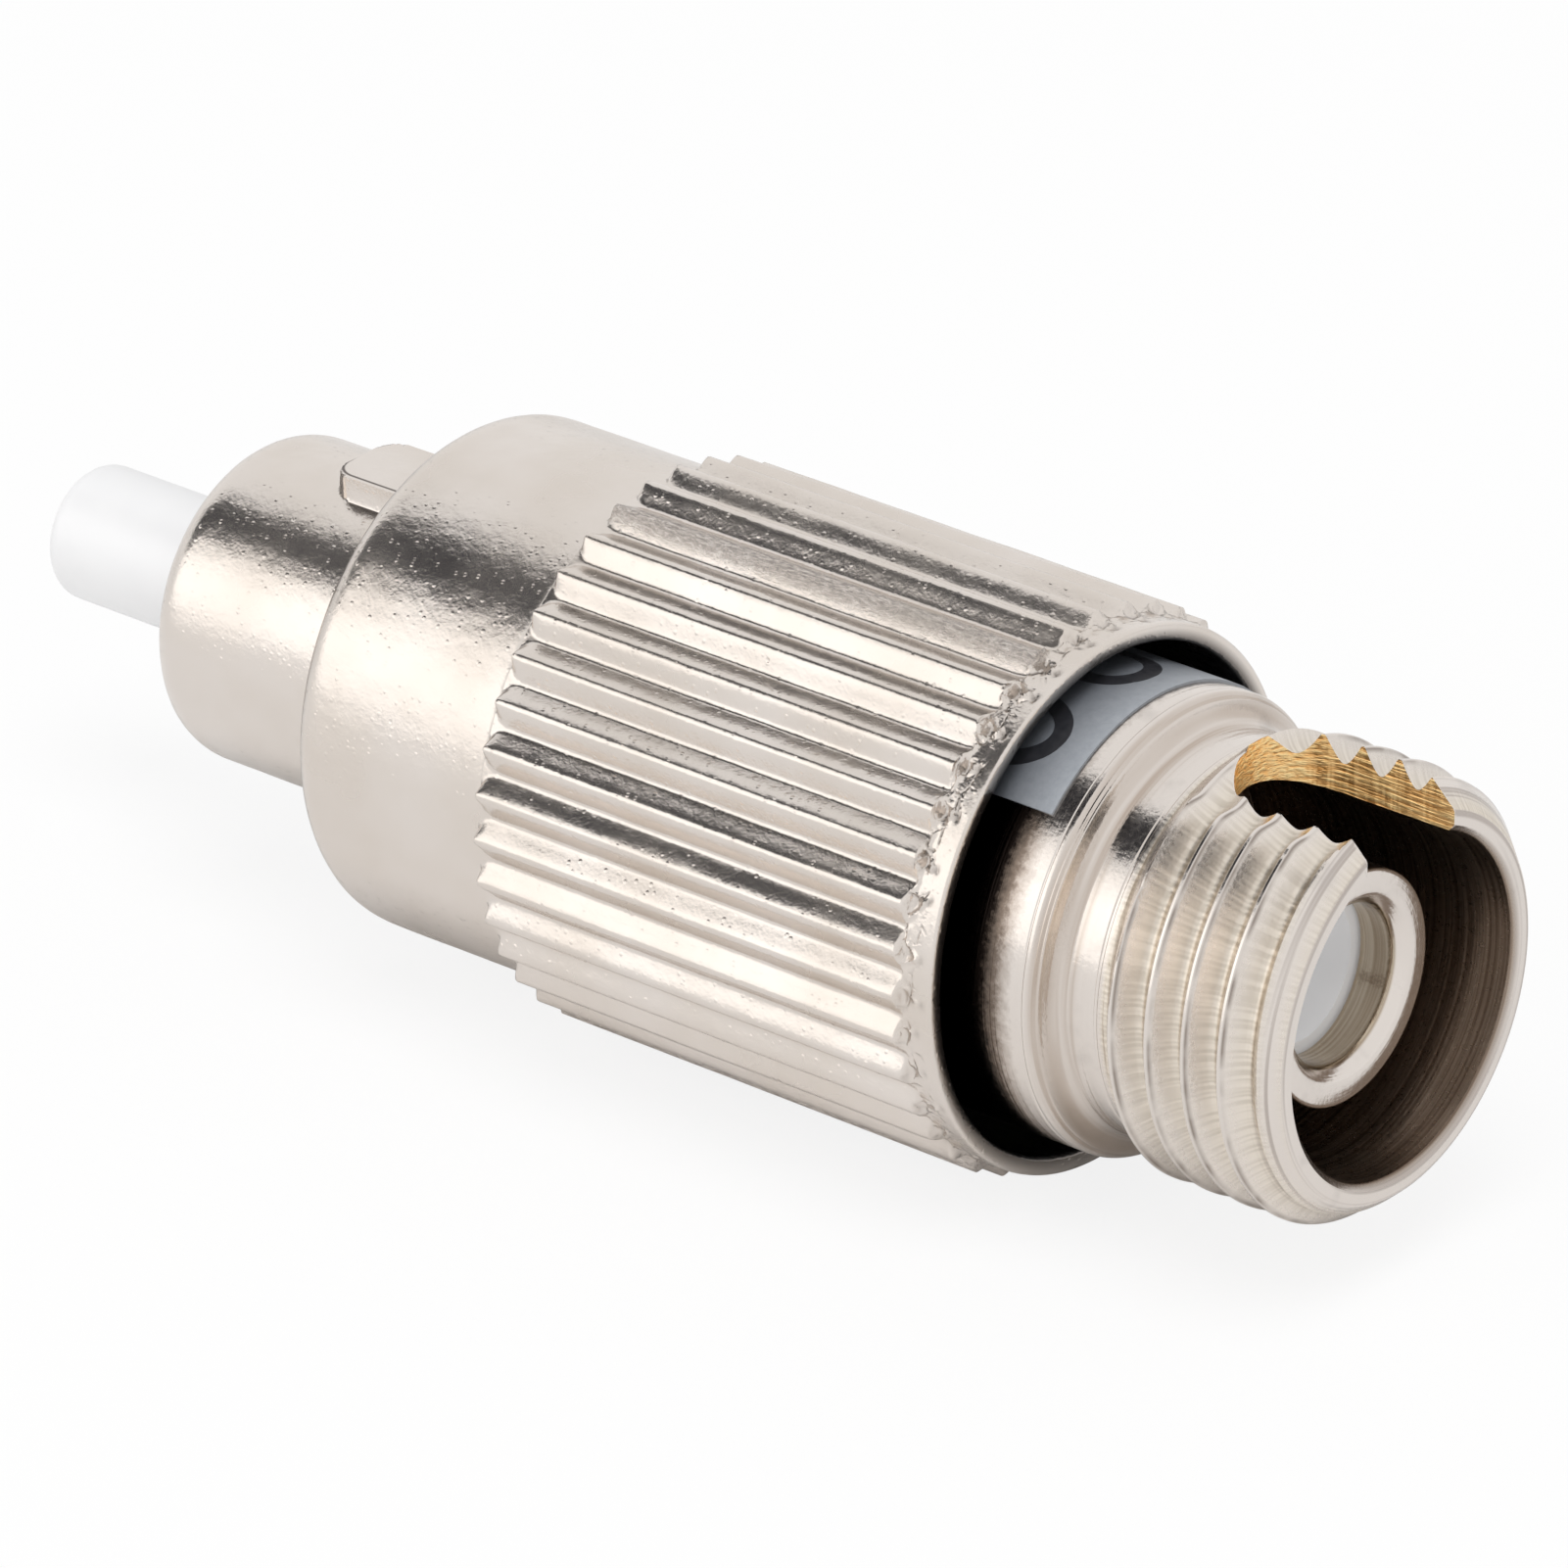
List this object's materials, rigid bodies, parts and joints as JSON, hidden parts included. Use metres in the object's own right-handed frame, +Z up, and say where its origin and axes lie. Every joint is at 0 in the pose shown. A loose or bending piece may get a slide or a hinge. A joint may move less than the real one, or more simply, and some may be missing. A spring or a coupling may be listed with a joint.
{
  "type": "fiber optic attenuator",
  "caption": "Plug-style fibre optic attenuator with a knurled coupling nut, white ferrule at one end and a threaded, keyed socket at the other.",
  "frame": {"origin": "centre of the threaded socket's mouth, on the part's axis", "axes": "+X along the axis out of the socket, away from the ferrule; +Z up through the keyway and the key"},
  "size_m": [0.0292, 0.0102, 0.0102],
  "materials": {
    "plated_brass": "turned, nickel plated, bright",
    "plated_casting": "cast, nickel plated, slight orange peel",
    "zirconia": "ground, satin",
    "spring_steel": "drawn",
    "silica": "clear",
    "label_paper": "satin print stock"
  },
  "bodies": {
    "core": {"receptacle_body": "plated_brass", "sleeve_holder": "plated_brass", "split_sleeve": "zirconia", "plug_frame": "plated_casting", "spring_washer": "spring_steel", "float_spring": "spring_steel", "label": "label_paper"},
    "ferrule_unit": {"ferrule": "zirconia", "ferrule_collar": "plated_brass", "attenuating_fibre": "silica"},
    "snap_ring": {"snap_ring": "spring_steel"},
    "nut": {"coupling_nut": "plated_casting"}
  },
  "joints": [
    {"name": "nut_slide", "type": "slide", "parent": "core", "child": "snap_ring", "axis": [-1, 0, 0], "range_m": [-0.0004, 0.0023]},
    {"name": "nut_spin", "type": "hinge", "parent": "snap_ring", "child": "nut", "pos_m": [-0.0167, 0, 0], "axis": [1, 0, 0], "continuous": true},
    {"name": "ferrule_float", "type": "slide", "parent": "core", "child": "ferrule_unit", "axis": [1, 0, 0], "range_m": [0, 0.0008], "stiffness_N_per_m": 2000, "springref_m": -0.004, "deforming": ["float_spring"]}
  ]
}
